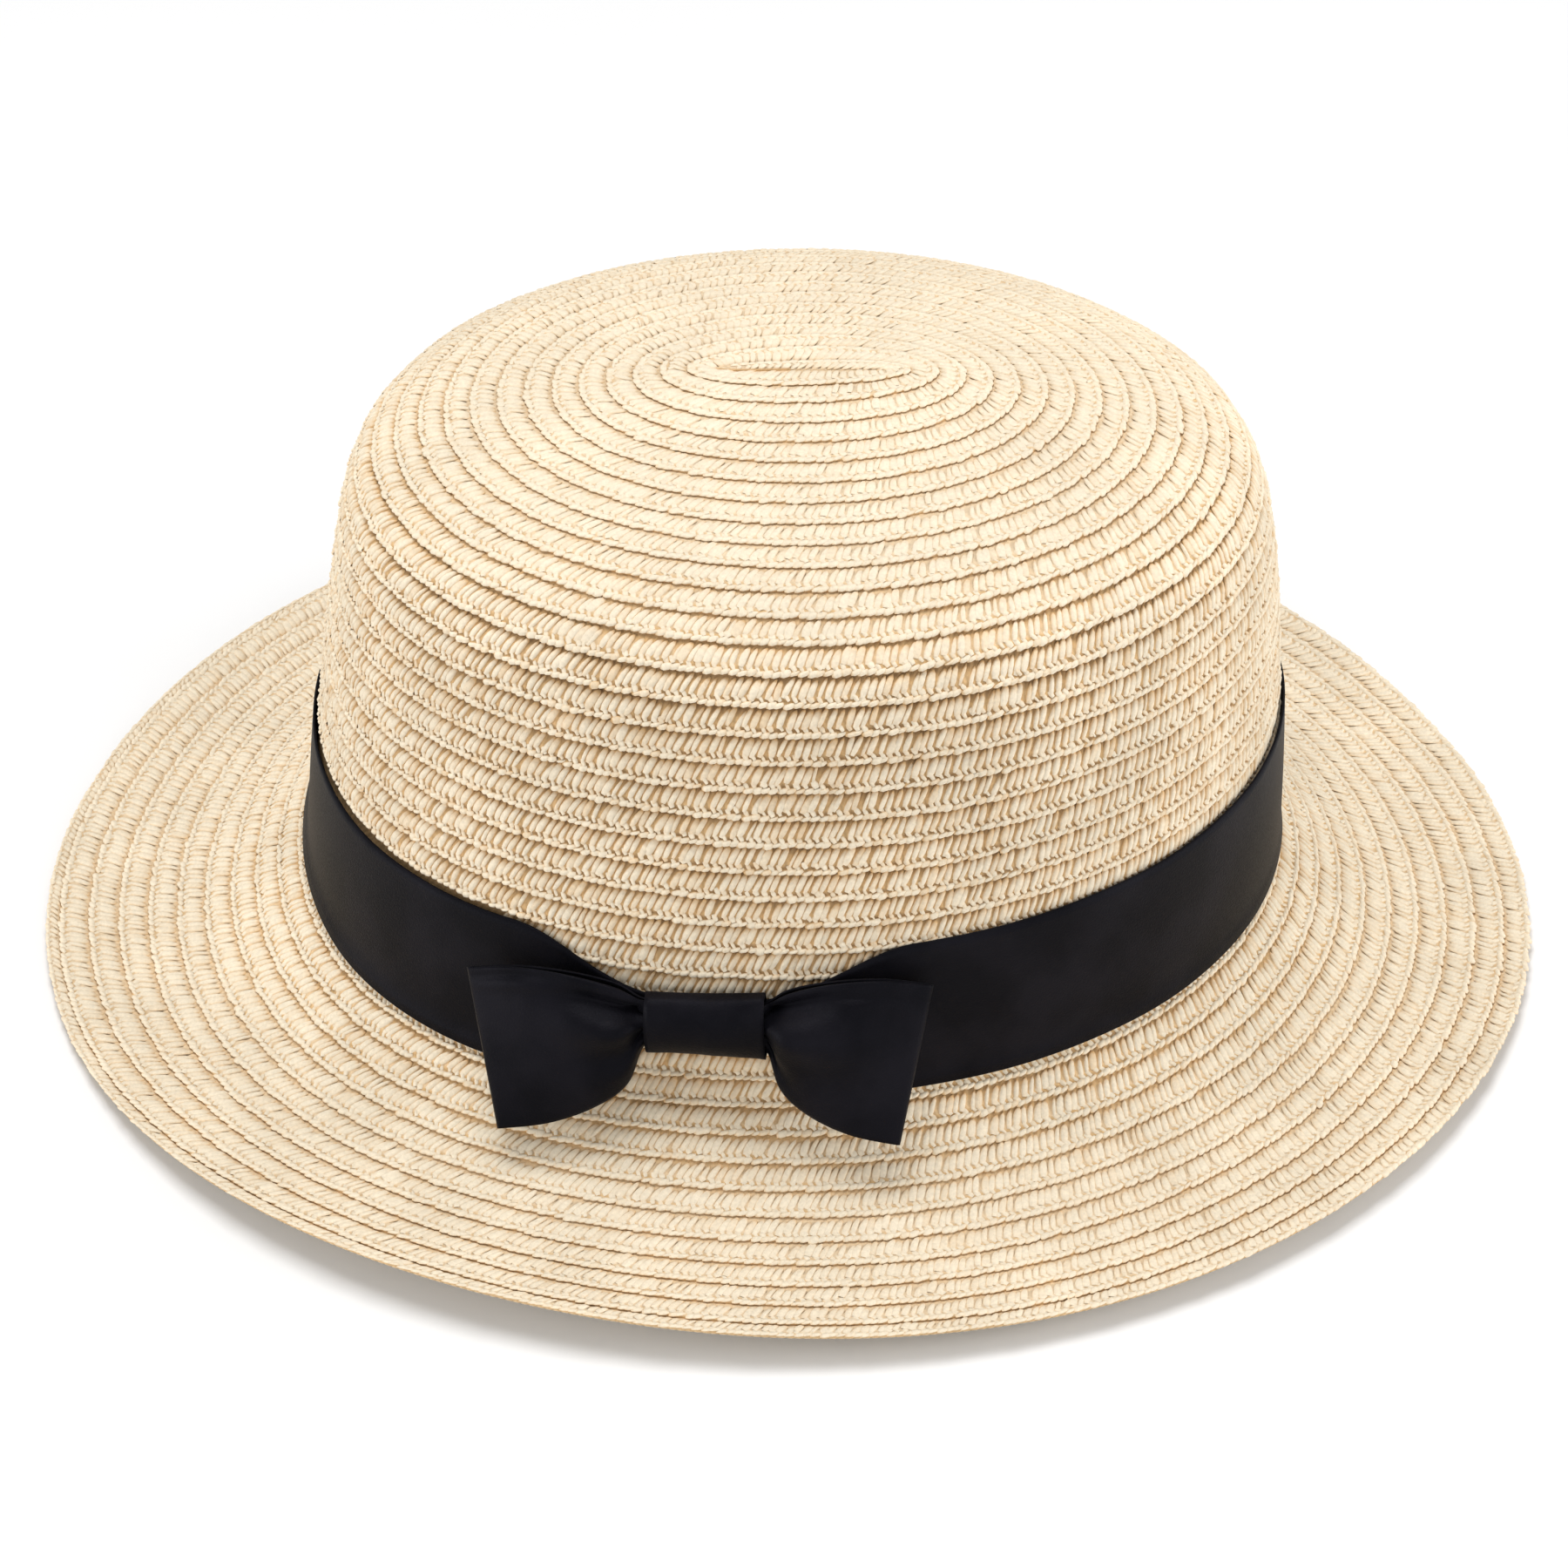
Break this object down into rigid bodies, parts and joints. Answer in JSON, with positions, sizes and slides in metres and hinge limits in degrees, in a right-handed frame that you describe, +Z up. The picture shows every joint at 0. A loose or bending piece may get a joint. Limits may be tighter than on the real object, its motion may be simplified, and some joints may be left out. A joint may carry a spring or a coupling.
{
  "type": "straw boater hat",
  "caption": "Cream braided-straw boater hat with a rounded crown, a wide oval brim, and a black ribbon band tied off with a flat bow.",
  "frame": {"origin": "on the surface that the brim rests on, under the middle of the hat's bounding box", "axes": "+Z up through the crown; X along the length of the oval, -Y towards the side with the bow"},
  "size_m": [0.306, 0.2726, 0.129],
  "materials": {
    "straw": "matte paper straw in sewn braid",
    "ribbon": "smooth near-black ribbon with a faint sheen"
  },
  "bodies": {
    "root": {"straw_body": "straw", "ribbon_band": "ribbon", "bow_loop_left": "ribbon", "bow_loop_right": "ribbon", "bow_knot": "ribbon"}
  },
  "joints": []
}
